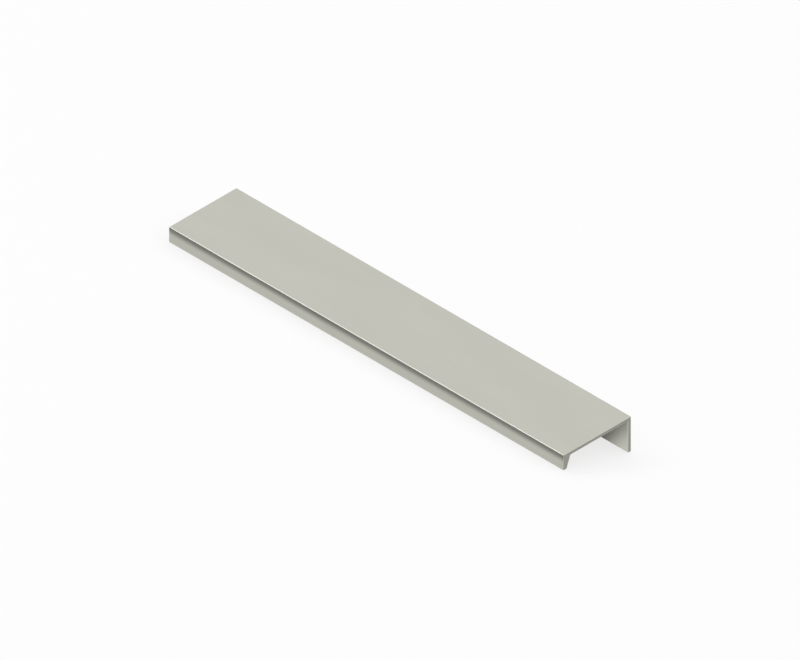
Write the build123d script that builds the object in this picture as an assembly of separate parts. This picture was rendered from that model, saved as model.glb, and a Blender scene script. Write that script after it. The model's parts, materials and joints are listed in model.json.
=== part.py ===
from build123d import *
from math import atan2, degrees
import os

# Edge pull: one length of extruded aluminium that hooks over the top edge of a door or drawer front.
# All sizes are in millimetres. The section is drawn as the pull is used, with its cover level:
# y runs from the front face back to the rear face, and z runs up from the cover's top face.

# Sawn length, and the section's overall sizes
length = 200.0
depth = 34.4
leg_height = 15.5
lip_height = 6.8

# Walls
cover_thickness = 1.6
leg_thickness = 1.6
lip_root_thickness = 3.7
lip_tip_thickness = 1.75

# Radii that the die leaves along the section, and the rounding left by deburring the sawn ends
cover_edge_radius = 0.5
toe_radius = 0.5
lip_inner_radius = 0.35
root_radius = 0.4
end_rounding = 0.3

# Two holes in the leg for 3 mm countersunk screws
hole_spacing = 160.0
hole_diameter = 3.4
countersink_diameter = 5.8
countersink_angle = 90.0

# Heights and faces that follow from those sizes
cover_underside = -cover_thickness
leg_foot = -leg_height
lip_foot = -lip_height
leg_inner_face = depth - leg_thickness
hole_height = (cover_underside + leg_foot) / 2

# Unheld on a level floor, the pull tips forward until the lip's outer toe and the leg's inner toe
# both touch. The two toes have one radius, so the floor is parallel to the line between their corners.
rest_tilt = degrees(atan2(leg_height - lip_height, leg_inner_face))


def section():
    """The extruded section: a level cover, a mounting leg behind and a wedge-shaped lip in front."""
    corners = [
        ((0, 0), cover_edge_radius),
        ((0, lip_foot), toe_radius),
        ((lip_tip_thickness, lip_foot), lip_inner_radius),
        ((lip_root_thickness, cover_underside), root_radius),
        ((leg_inner_face, cover_underside), root_radius),
        ((leg_inner_face, leg_foot), toe_radius),
        ((depth, leg_foot), toe_radius),
        ((depth, 0), cover_edge_radius),
    ]
    points, radii = zip(*corners)
    with BuildSketch(Plane.YZ) as sketch:
        with BuildLine():
            FilletPolyline(*points, radius=radii, close=True)
        make_face()
    return sketch.sketch


def sawn_length():
    """The section extruded to length and sawn square, with the saw's burr taken off both ends."""
    bar = extrude(section(), amount=length / 2, both=True)
    sawn_edges = bar.faces().filter_by(Axis.X).edges()
    return fillet(sawn_edges, end_rounding)


def drilled(bar):
    """The bar with its screw holes, drilled and countersunk from the leg's rear face."""
    rear_face = Plane(origin=(0, depth, hole_height), x_dir=(1, 0, 0), z_dir=(0, 1, 0))
    with BuildPart() as pull:
        add(bar)
        with Locations(rear_face), GridLocations(hole_spacing, 0, 2, 1):
            CounterSinkHole(
                radius=hole_diameter / 2,
                counter_sink_radius=countersink_diameter / 2,
                depth=leg_thickness,
                counter_sink_angle=countersink_angle,
            )
    return pull.part


def rest_placement(pull):
    """How the pull lies: tipped onto both toes, with the middle of its footprint at the origin."""
    tipped = Rot(rest_tilt, 0, 0)
    box = (tipped * pull).bounding_box()
    return Pos(-box.center().X, -box.center().Y, -box.min.Z) * tipped


edge_pull = drilled(sawn_length())
placement = rest_placement(edge_pull)
os.makedirs("parts", exist_ok=True)
export_step(placement * edge_pull, "parts/edge_pull.step")
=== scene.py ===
import json
import math

import bpy
from mathutils import Matrix, Vector


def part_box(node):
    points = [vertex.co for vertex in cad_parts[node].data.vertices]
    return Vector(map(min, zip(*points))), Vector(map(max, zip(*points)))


# An edge pull: one length of satin anodised aluminium, lying unheld on a pale studio floor.
# Lengths are in metres, unless a comment gives them in millimetres.

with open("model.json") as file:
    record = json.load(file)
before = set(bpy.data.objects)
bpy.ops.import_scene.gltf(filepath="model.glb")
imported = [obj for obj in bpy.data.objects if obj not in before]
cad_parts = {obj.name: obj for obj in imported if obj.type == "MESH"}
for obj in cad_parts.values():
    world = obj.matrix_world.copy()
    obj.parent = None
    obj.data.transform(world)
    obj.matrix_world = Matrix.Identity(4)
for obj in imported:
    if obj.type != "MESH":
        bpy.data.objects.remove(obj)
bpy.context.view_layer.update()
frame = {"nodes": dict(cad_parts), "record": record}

MM = 0.001
MICROMETRE = 1e-6
WHITE = (1.0, 1.0, 1.0, 1.0)

# The photograph's frame, and where the cover's near front corner is in it
IMAGE_WIDTH, IMAGE_HEIGHT = 800, 660
CORNER_PIXEL = (563.3, 455.45)
PIXELS_PER_MM = 2.7895
CAMERA_ELEVATION = math.radians(35.4)
CAMERA_DISTANCE = 1.0

# The studio
FLOOR_SIZE = 14.0
SCREEN_RADIUS = 4.0
SCREEN_HEIGHT = 1.4
PULL_MIDDLE = Vector((0, 0, 7 * MM))

# How much of the floor's white the camera sees whatever light falls on it. The rest takes the pull's shadow.
SEEN_WHITE = 0.75

# Painted shadow on the floor, seen only in the metal: the floor's white under the pull is as light as the
# rest this far in from the pull's open ends, then is painted darker, and past this reach it keeps only this
# share
PAINTED_SHADE_START = 2 * MM
PAINTED_SHADE_REACH = 15 * MM
DEEP_PAINTED_SHADE = 0.09

# The finish's patterns on the pull, in millimetres: the width of a die line and of an etched pit as drawn,
# the width of a patch of drift in tone, and the spacing of the saw's arcs and of the turning rings
DIE_LINE = 0.4
ETCHED_PIT = 0.3
DRIFT_PATCH = 14
SAW_ARC = 0.7
TURNING_RING = 0.3

# A Wave texture of scale 1 repeats after this length, and a Noise texture mostly keeps within this range
WAVE_LENGTH = 0.314
NOISE_RANGE = {"From Min": 0.3, "From Max": 0.7}

# The sockets of a Mix node share their names, so they go by number: its factor, the two values that it mixes
# and the two colours. The mixed colour comes out of the socket with the last number.
FACTOR, FIRST, SECOND, FIRST_COLOUR, SECOND_COLOUR, MIXED_COLOUR = 0, 2, 3, 6, 7, 2

pull = frame["nodes"]["edge_pull"]
mounts = {mount["name"]: mount for mount in frame["record"]["mounts"]}

# How the pull lies. Its section is turned about X, because it rests on its lip and its leg: "front" faces
# out of the lip and "up" out of the cover.
front = Vector(mounts["leg_face"]["axis"])
along = Vector((1, 0, 0))
up = along.cross(-front)
rest_tilt = math.atan2(-front.z, -front.y)
front_face = max(vertex.co.dot(front) for vertex in pull.data.vertices)
cover_top = max(vertex.co.dot(up) for vertex in pull.data.vertices)
half_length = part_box("edge_pull")[1].x

# Where it stands on the floor, along its lip and along its leg, with the open channel between them
ON_THE_FLOOR = 0.02 * MM
standing_on = [vertex.co.y for vertex in pull.data.vertices if vertex.co.z < ON_THE_FLOOR]
channel_middle = (min(standing_on) + max(standing_on)) / 2
half_channel = (max(standing_on) - min(standing_on)) / 2

# The screw holes, as the record's mount gives them, and the radius of their countersinks, from its note
hole_pattern = mounts["screw_holes"]
hole_height = Vector(hole_pattern["pos_m"]).dot(up) - cover_top
hole_offset = hole_pattern["dims"]["pcd_mm"] * MM / 2
COUNTERSINK_RADIUS = 2.9 * MM

# A depth between the lip and the leg, in millimetres from the front face
MID_DEPTH = 17.0


def linear(hex_colour):
    """An sRGB hex colour as linear RGBA."""
    channels = [int(hex_colour[i:i + 2], 16) / 255 for i in (1, 3, 5)]
    return (*[c / 12.92 if c <= 0.04045 else ((c + 0.055) / 1.055) ** 2.4 for c in channels], 1.0)


def add(tree, kind, settings=None, links=None):
    """Adds a shader node. settings gives its properties and its sockets' values, and links what feeds its
    sockets. A socket goes by its name, or by its number where several share one."""
    node = tree.nodes.new(kind)
    for key, value in (settings or {}).items():
        if isinstance(key, int) or key in node.inputs:
            node.inputs[key].default_value = value
        else:
            setattr(node, key, value)
    for key, socket in (links or {}).items():
        tree.links.new(socket, node.inputs[key])
    return node


def new_tree(name):
    """A material with an empty node tree, and that tree."""
    material = bpy.data.materials.new(name)
    material.use_nodes = True
    material.node_tree.nodes.clear()
    return material, material.node_tree


def satin_anodised_aluminium():
    """Aluminium pressed through a die, etched matt in caustic soda and anodised clear. The etch gives a soft,
    even sheen with faint lines from the die along the bar. The rounded edges are smoother, so they catch the
    lamps. The sawn ends are duller, show the blade's arcs and have a darker tone that is partly their sawn
    finish and partly painted shade, and the countersinks show turning rings. The lip's outer face has painted
    shade up by the cover's edge."""
    material, tree = new_tree("satin_anodised_aluminium")
    place = add(tree, "ShaderNodeTexCoord")

    # Position in the section's own axes, in millimetres from the cover's sharp front corner at mid-length
    position = add(tree, "ShaderNodeMapping", {
        "Scale": (1 / MM, 1 / MM, 1 / MM),
        "Rotation": (-rest_tilt, 0, 0),
        "Location": (0, front_face / MM, -cover_top / MM),
    }, {"Vector": place.outputs["Object"]})
    at = add(tree, "ShaderNodeSeparateXYZ", links={"Vector": position.outputs["Vector"]})

    # Which way the surface faces, in the same axes
    facing = add(tree, "ShaderNodeMapping", {
        "vector_type": "NORMAL",
        "Rotation": (-rest_tilt, 0, 0),
    }, {"Vector": place.outputs["Normal"]})
    facing_at = add(tree, "ShaderNodeSeparateXYZ", links={"Vector": facing.outputs["Vector"]})
    squareness = add(tree, "ShaderNodeVectorMath", {"operation": "ABSOLUTE"}, {0: facing.outputs["Vector"]})
    square = add(tree, "ShaderNodeSeparateXYZ", links={"Vector": squareness.outputs["Vector"]})

    # Rounded edges face between two of the section's axes
    squarest_two = add(tree, "ShaderNodeMath", {"operation": "MAXIMUM"},
                       {0: square.outputs["Y"], 1: square.outputs["Z"]})
    squarest = add(tree, "ShaderNodeMath", {"operation": "MAXIMUM"},
                   {0: squarest_two.outputs[0], 1: square.outputs["X"]})
    rounded = add(tree, "ShaderNodeMapRange", {
        "interpolation_type": "SMOOTHSTEP", "From Min": 0.92, "From Max": 0.78,
    }, {"Value": squarest.outputs[0]})

    # Die lines: real ones are 0.02 to 0.1 mm wide, drawn wider so that they show, and long along the bar
    along_bar = add(tree, "ShaderNodeMapping", {
        "Scale": (0.006, 1, 1),
    }, {"Vector": position.outputs["Vector"]})
    die_lines = add(tree, "ShaderNodeTexNoise", {
        "Scale": 1 / DIE_LINE, "Detail": 3.0, "Roughness": 0.6,
    }, {"Vector": along_bar.outputs["Vector"]})

    # Etched grain: real pits are 0.01 to 0.05 mm across, drawn larger so that they show
    etch = add(tree, "ShaderNodeTexNoise", {
        "Scale": 1 / ETCHED_PIT, "Detail": 2.0, "Roughness": 0.7,
    }, {"Vector": position.outputs["Vector"]})

    # The film's slow drift in tone, four times as long along the bar as across it
    drift_place = add(tree, "ShaderNodeMapping", {
        "Scale": (0.25, 1, 1),
    }, {"Vector": position.outputs["Vector"]})
    drift = add(tree, "ShaderNodeTexNoise", {
        "Scale": 1 / DRIFT_PATCH, "Detail": 1.0,
    }, {"Vector": drift_place.outputs["Vector"]})

    # Arcs from a 300 mm saw blade, its middle 60 mm behind the front face and 140 mm below the cover's top
    blade_centre = add(tree, "ShaderNodeMapping", {
        "Location": (0, -60, 140),
    }, {"Vector": position.outputs["Vector"]})
    saw_arcs = add(tree, "ShaderNodeTexWave", {
        "wave_type": "RINGS", "rings_direction": "X", "Scale": WAVE_LENGTH / SAW_ARC,
        "Distortion": 1.5, "Detail": 2.0, "Detail Scale": 0.4,
    }, {"Vector": blade_centre.outputs["Vector"]})

    # Turning rings in the two countersinks, about each hole's own axis
    from_middle = add(tree, "ShaderNodeMath", {"operation": "ABSOLUTE"}, {0: at.outputs["X"]})
    from_hole_x = add(tree, "ShaderNodeMath", {"operation": "SUBTRACT", 1: hole_offset / MM},
                      {0: from_middle.outputs[0]})
    from_hole_z = add(tree, "ShaderNodeMath", {"operation": "SUBTRACT", 1: hole_height / MM},
                      {0: at.outputs["Z"]})
    from_axis = add(tree, "ShaderNodeCombineXYZ", links={
        "X": from_hole_x.outputs[0], "Z": from_hole_z.outputs[0]})
    radius = add(tree, "ShaderNodeVectorMath", {"operation": "LENGTH"}, {0: from_axis.outputs["Vector"]})
    near_axis = add(tree, "ShaderNodeMapRange", {
        "From Min": COUNTERSINK_RADIUS / MM + 0.05, "From Max": COUNTERSINK_RADIUS / MM - 0.05,
    }, {"Value": radius.outputs["Value"]})
    rear_half = add(tree, "ShaderNodeMath", {"operation": "GREATER_THAN", 1: MID_DEPTH}, {0: at.outputs["Y"]})
    in_hole = add(tree, "ShaderNodeMath", {"operation": "MULTIPLY"},
                  {0: near_axis.outputs[0], 1: rear_half.outputs[0]})
    turned_rings = add(tree, "ShaderNodeTexWave", {
        "wave_type": "RINGS", "rings_direction": "Y", "Scale": WAVE_LENGTH / TURNING_RING, "Distortion": 0.4,
    }, {"Vector": from_axis.outputs["Vector"]})

    # Sawn ends face along the bar, and so do the sides of the holes, which aren't sawn
    end_on = add(tree, "ShaderNodeMapRange", {
        "interpolation_type": "SMOOTHSTEP", "From Min": 0.86, "From Max": 0.96,
    }, {"Value": square.outputs["X"]})
    sawn = add(tree, "ShaderNodeMix", {SECOND: 0.0}, {FACTOR: in_hole.outputs[0], FIRST: end_on.outputs[0]})

    # Painted shade: the lip's outer face is painted darker up by the cover's edge, as if the edge shaded it.
    # The leg's inner face, which also faces forward, isn't.
    forward = add(tree, "ShaderNodeMapRange", {
        "interpolation_type": "SMOOTHSTEP", "From Min": -0.45, "From Max": -0.85,
    }, {"Value": facing_at.outputs["Y"]})
    lip_painted_shade = add(tree, "ShaderNodeMapRange", {
        "interpolation_type": "SMOOTHSTEP",
        "From Min": -0.6, "From Max": -3.6, "To Min": 0.345, "To Max": 0.9,
    }, {"Value": at.outputs["Z"]})
    front_half_painted_shade = add(tree, "ShaderNodeMix", {SECOND: 1.0}, {
        FACTOR: rear_half.outputs[0], FIRST: lip_painted_shade.outputs[0]})
    painted_shade_share = add(tree, "ShaderNodeMix", {FIRST: 1.0}, {
        FACTOR: forward.outputs[0], SECOND: front_half_painted_shade.outputs[0]})

    # Colour: one tone each for the faces, the rounded edges and the sawn ends, times each pattern's share and
    # the painted shade on the lip's outer face
    face_or_edge = add(tree, "ShaderNodeMix", {
        "data_type": "RGBA", FIRST_COLOUR: linear("#C3C3B9"), SECOND_COLOUR: linear("#B9B9B3"),
    }, {FACTOR: rounded.outputs[0]})
    # The sawn ends' darker tone is partly their sawn finish and partly painted shade on the ends
    tone_and_painted_end_shade = add(tree, "ShaderNodeMix", {
        "data_type": "RGBA", SECOND_COLOUR: linear("#9C9C93"),
    }, {FACTOR: sawn.outputs[0], FIRST_COLOUR: face_or_edge.outputs[MIXED_COLOUR]})
    drift_share = add(tree, "ShaderNodeMapRange", {
        **NOISE_RANGE, "To Min": 0.985, "To Max": 1.015,
    }, {"Value": drift.outputs["Fac"]})
    line_share = add(tree, "ShaderNodeMapRange", {
        **NOISE_RANGE, "To Min": 0.98, "To Max": 1.02,
    }, {"Value": die_lines.outputs["Fac"]})
    etch_share = add(tree, "ShaderNodeMapRange", {
        **NOISE_RANGE, "To Min": 0.985, "To Max": 1.015,
    }, {"Value": etch.outputs["Fac"]})
    arc_tone = add(tree, "ShaderNodeMapRange", {
        "To Min": 0.94, "To Max": 1.06,
    }, {"Value": saw_arcs.outputs["Fac"]})
    arc_share = add(tree, "ShaderNodeMix", {FIRST: 1.0}, {
        FACTOR: sawn.outputs[0], SECOND: arc_tone.outputs[0]})
    share = drift_share.outputs[0]
    for part_share in (line_share, etch_share, arc_share, painted_shade_share):
        share = add(tree, "ShaderNodeMath", {"operation": "MULTIPLY"},
                    {0: share, 1: part_share.outputs[0]}).outputs[0]
    colour = add(tree, "ShaderNodeVectorMath", {"operation": "SCALE"}, {
        0: tone_and_painted_end_shade.outputs[MIXED_COLOUR], "Scale": share})

    # Roughness: the rounded edges are the smoothest, and the sawn ends the roughest
    face_roughness = add(tree, "ShaderNodeMapRange", {
        **NOISE_RANGE, "To Min": 0.35, "To Max": 0.41,
    }, {"Value": etch.outputs["Fac"]})
    edge_roughness = add(tree, "ShaderNodeMix", {SECOND: 0.22}, {
        FACTOR: rounded.outputs[0], FIRST: face_roughness.outputs[0]})
    hole_roughness = add(tree, "ShaderNodeMix", {SECOND: 0.4}, {
        FACTOR: in_hole.outputs[0], FIRST: edge_roughness.outputs[0]})
    roughness = add(tree, "ShaderNodeMix", {SECOND: 0.5}, {
        FACTOR: sawn.outputs[0], FIRST: hole_roughness.outputs[0]})

    # Relief
    lines_relief = add(tree, "ShaderNodeBump", {
        "Strength": 1.0, "Distance": 0.8 * MICROMETRE,
    }, {"Height": die_lines.outputs["Fac"]})
    etch_relief = add(tree, "ShaderNodeBump", {
        "Strength": 1.0, "Distance": 1.0 * MICROMETRE,
    }, {"Height": etch.outputs["Fac"], "Normal": lines_relief.outputs["Normal"]})
    arcs_height = add(tree, "ShaderNodeMath", {"operation": "MULTIPLY"},
                      {0: saw_arcs.outputs["Fac"], 1: sawn.outputs[0]})
    arcs_relief = add(tree, "ShaderNodeBump", {
        "Strength": 1.0, "Distance": 6 * MICROMETRE,
    }, {"Height": arcs_height.outputs[0], "Normal": etch_relief.outputs["Normal"]})
    rings_height = add(tree, "ShaderNodeMath", {"operation": "MULTIPLY"},
                       {0: turned_rings.outputs["Fac"], 1: in_hole.outputs[0]})
    rings_relief = add(tree, "ShaderNodeBump", {
        "Strength": 1.0, "Distance": 3 * MICROMETRE,
    }, {"Height": rings_height.outputs[0], "Normal": arcs_relief.outputs["Normal"]})

    body = add(tree, "ShaderNodeBsdfPrincipled", {"Metallic": 1.0}, {
        "Base Color": colour.outputs["Vector"],
        "Roughness": roughness.outputs[0],
        "Normal": rings_relief.outputs["Normal"],
    })
    add(tree, "ShaderNodeOutputMaterial", links={"Surface": body.outputs["BSDF"]})
    return material


def white_paper():
    """Matt white paper. Away from the pull it is pure white, to the eye and in the metal, and next to it the
    pull's soft shadow shows. In the metal, the paper under the cover also has a painted shadow on top of its
    real
    shade: its white is painted away there, except near the pull's two open ends."""
    material, tree = new_tree("white_paper")
    paper = add(tree, "ShaderNodeBsdfDiffuse", {"Color": (0.9, 0.9, 0.9, 1.0)})
    white = add(tree, "ShaderNodeEmission", {"Color": WHITE, "Strength": 1.0})
    ray = add(tree, "ShaderNodeLightPath")
    seen = add(tree, "ShaderNodeMath", {"operation": "MAXIMUM"},
               {0: ray.outputs["Is Camera Ray"], 1: ray.outputs["Is Transmission Ray"]})
    seen_share = add(tree, "ShaderNodeMath", {"operation": "MULTIPLY", 1: SEEN_WHITE}, {0: seen.outputs[0]})
    place = add(tree, "ShaderNodeTexCoord")
    at = add(tree, "ShaderNodeSeparateXYZ", links={"Vector": place.outputs["Object"]})
    from_middle = add(tree, "ShaderNodeMath", {"operation": "ABSOLUTE"}, {0: at.outputs["X"]})
    # Painted shadow, seen only in the metal: the white is painted away under the pull, except near its open
    # ends
    painted_shade_from_end = add(tree, "ShaderNodeMapRange", {
        "interpolation_type": "SMOOTHSTEP",
        "From Min": half_length - PAINTED_SHADE_REACH, "From Max": half_length - PAINTED_SHADE_START,
        "To Min": DEEP_PAINTED_SHADE,
    }, {"Value": from_middle.outputs[0]})
    under_pull = add(tree, "ShaderNodeMath", {"operation": "COMPARE", 1: channel_middle, 2: half_channel},
                     {0: at.outputs["Y"]})
    lightness_with_painted_shade = add(tree, "ShaderNodeMix", {FIRST: 1.0}, {
        FACTOR: under_pull.outputs[0], SECOND: painted_shade_from_end.outputs[0]})
    mirrored_share = add(tree, "ShaderNodeMath", {"operation": "MULTIPLY"},
                         {0: ray.outputs["Is Glossy Ray"], 1: lightness_with_painted_shade.outputs[0]})
    share = add(tree, "ShaderNodeMath", {"operation": "MAXIMUM"},
                {0: seen_share.outputs[0], 1: mirrored_share.outputs[0]})
    mix = add(tree, "ShaderNodeMixShader", links={
        "Fac": share.outputs[0], 1: paper.outputs["BSDF"], 2: white.outputs["Emission"]})
    add(tree, "ShaderNodeOutputMaterial", links={"Surface": mix.outputs["Shader"]})
    return material


def grey_felt():
    """Matt grey felt, for the low screens round the floor."""
    material, tree = new_tree("grey_felt")
    felt = add(tree, "ShaderNodeBsdfDiffuse", {"Color": linear("#A6A6A4")})
    add(tree, "ShaderNodeOutputMaterial", links={"Surface": felt.outputs["BSDF"]})
    return material


def lay_floor():
    """A wide sheet of white paper, under the pull and past the edges of the picture."""
    bpy.ops.object.select_all(action="DESELECT")
    bpy.ops.mesh.primitive_plane_add(size=FLOOR_SIZE, location=(0, 0, 0))
    floor = bpy.context.object
    floor.name = "studio_floor"
    floor.data.materials.append(white_paper())


def stand_screens():
    """A low ring of grey screens round the pull, hidden from the camera, that the rounded edges mirror."""
    bpy.ops.object.select_all(action="DESELECT")
    bpy.ops.mesh.primitive_cylinder_add(vertices=48, radius=SCREEN_RADIUS, depth=SCREEN_HEIGHT,
                                        end_fill_type="NOTHING", location=(0, 0, SCREEN_HEIGHT / 2))
    screens = bpy.context.object
    screens.name = "studio_screens"
    screens.data.materials.append(grey_felt())
    screens.visible_camera = False


def softbox(name, towards, edge, distance, size, radiance):
    """A rectangular lamp that far from the pull in the direction towards, facing the pull. size is its width
    and its length, and radiance is how bright its face is, where 1 is white. Its length lies the way in which
    its mirror image runs round the rounded edge that goes along edge. So the edge shows much of a long dim
    lamp, and a flat face mirrors only a narrow piece of it and keeps its colour."""
    data = bpy.data.lights.new(name, "AREA")
    data.shape = "RECTANGLE"
    data.size, data.size_y = size
    data.energy = radiance * math.pi * size[0] * size[1]
    lamp = bpy.data.objects.new(name, data)
    direction = Vector(towards).normalized()
    lamp.location = PULL_MIDDLE + direction * distance
    length_way = edge.cross(direction).normalized()
    turn = Matrix((length_way.cross(direction), length_way, direction)).transposed()
    lamp.rotation_euler = turn.to_euler()
    lamp.visible_camera = False
    bpy.context.scene.collection.objects.link(lamp)


def mirrored(view, normal):
    """Where a surface facing normal mirrors a camera that is in the direction view."""
    normal = normal.normalized()
    return 2 * normal.dot(view) * normal - view


def light_studio(view):
    """Soft white surroundings, and a softbox for each of the cover's rounded edges that the camera sees lit:
    its front edge and its near sawn end. view is the direction from the pull to the camera."""
    world = bpy.data.worlds.new("studio_surroundings")
    bpy.context.scene.world = world
    world.use_nodes = True
    tree = world.node_tree
    tree.nodes.clear()
    backdrop = add(tree, "ShaderNodeBackground", {"Color": WHITE, "Strength": 1.0})
    add(tree, "ShaderNodeOutputWorld", links={"Surface": backdrop.outputs["Background"]})
    softbox("front_strip", mirrored(view, front * 0.75 + up), along,
            distance=1.5, size=(0.3, 2.1), radiance=2.4)
    softbox("end_strip", mirrored(view, along * 1.6 + up), front,
            distance=1.2, size=(0.2, 0.85), radiance=1.4)


def place_camera():
    """The photograph's camera: square to no face, over the front right corner, with the cover shown level.
    Gives the direction from the pull to the camera."""
    level = (along + front).normalized()
    towards_camera = level * math.cos(CAMERA_ELEVATION) + up * math.sin(CAMERA_ELEVATION)
    camera_up = (up - towards_camera * up.dot(towards_camera)).normalized()
    camera_right = camera_up.cross(towards_camera)
    pixels_per_metre = PIXELS_PER_MM / MM
    near_corner = along * half_length + front * front_face + up * cover_top
    centre = (
        near_corner
        - camera_right * ((CORNER_PIXEL[0] - IMAGE_WIDTH / 2) / pixels_per_metre)
        + camera_up * ((CORNER_PIXEL[1] - IMAGE_HEIGHT / 2) / pixels_per_metre)
    )
    data = bpy.data.cameras.new("camera")
    data.type = "ORTHO"
    data.ortho_scale = IMAGE_WIDTH / pixels_per_metre
    camera = bpy.data.objects.new("camera", data)
    turn = Matrix((camera_right, camera_up, towards_camera)).transposed()
    camera.matrix_world = Matrix.Translation(centre + towards_camera * CAMERA_DISTANCE) @ turn.to_4x4()
    bpy.context.scene.collection.objects.link(camera)
    bpy.context.scene.camera = camera
    return towards_camera


bpy.context.scene.view_settings.view_transform = "Standard"
view = place_camera()
lay_floor()
stand_screens()
light_studio(view)
pull.material_slots[0].material = satin_anodised_aluminium()
